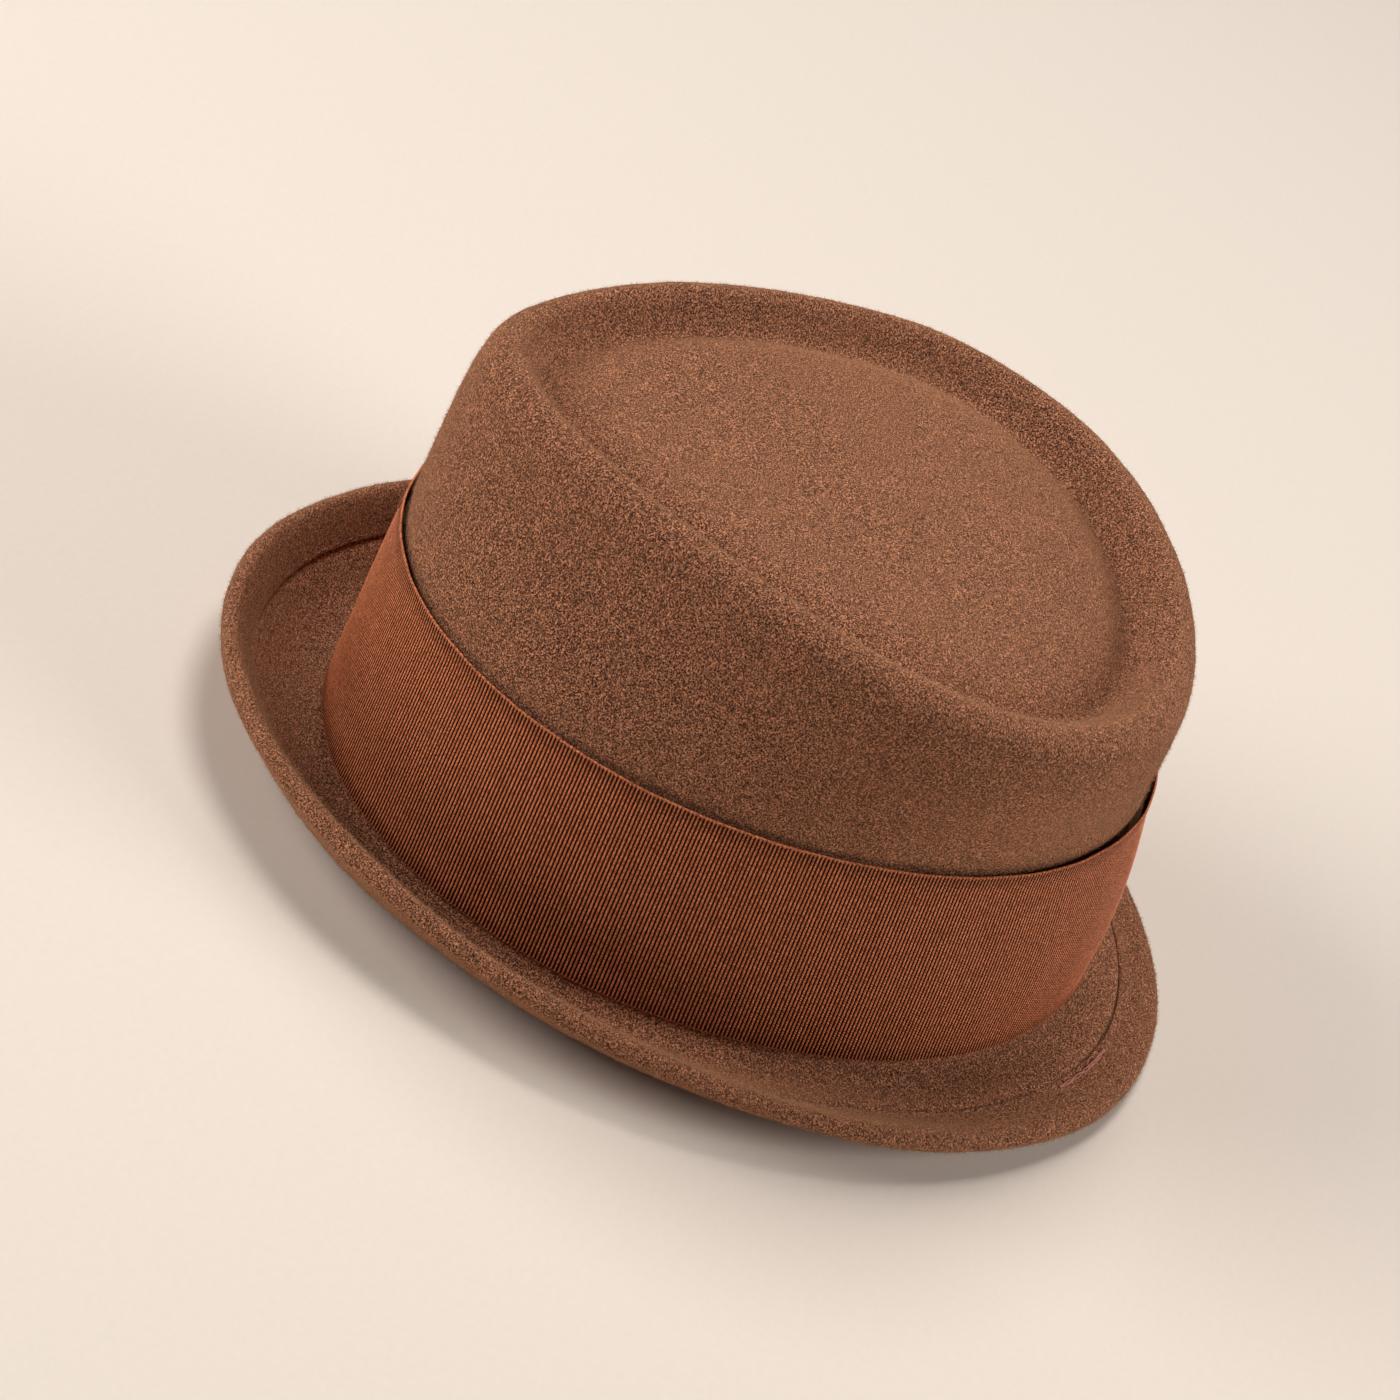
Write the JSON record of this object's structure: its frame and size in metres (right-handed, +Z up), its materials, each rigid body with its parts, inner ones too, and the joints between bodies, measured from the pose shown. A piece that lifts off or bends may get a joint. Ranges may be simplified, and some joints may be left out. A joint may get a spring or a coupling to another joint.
{
  "type": "felt hat",
  "caption": "Short-brimmed felt hat with a ridged telescope crown, wide grosgrain band with a flat side bow, curled welted brim, leather sweatband and lining.",
  "frame": {"origin": "on the resting plane, under the middle of the whole hat's box", "axes": "+Z up from the resting plane, -Y the wearer's front, +X the wearer's left"},
  "size_m": [0.2152, 0.2576, 0.1188],
  "materials": {
    "felt": "brown wool felt, matt and finely fuzzy",
    "ribbon": "rust-brown grosgrain, ribbed, low sheen",
    "ribbon_thread": "spun sewing thread",
    "thread": "spun sewing thread",
    "wire": "drawn steel",
    "sleeve": "crimped brass",
    "leather": "smooth dark brown sweatband leather",
    "reed": "extruded plastic",
    "tape": "woven tape",
    "label": "blank woven label",
    "lining": "brown satin lining",
    "piping": "satin piping"
  },
  "bodies": {
    "root": {"felt_body": "felt", "brim_wire": "wire", "wire_joiner": "sleeve", "welt_stitching": "thread", "hat_band": "ribbon", "bow_loop_back": "ribbon", "bow_loop_front": "ribbon", "bow_knot": "ribbon", "band_tacks": "ribbon_thread", "sweatband": "leather", "sweatband_reed": "reed", "sweatband_stitching": "thread", "sweatband_seam_tab": "tape", "size_label": "label", "lining_side": "lining", "lining_tip": "lining", "lining_piping": "piping"}
  },
  "joints": []
}
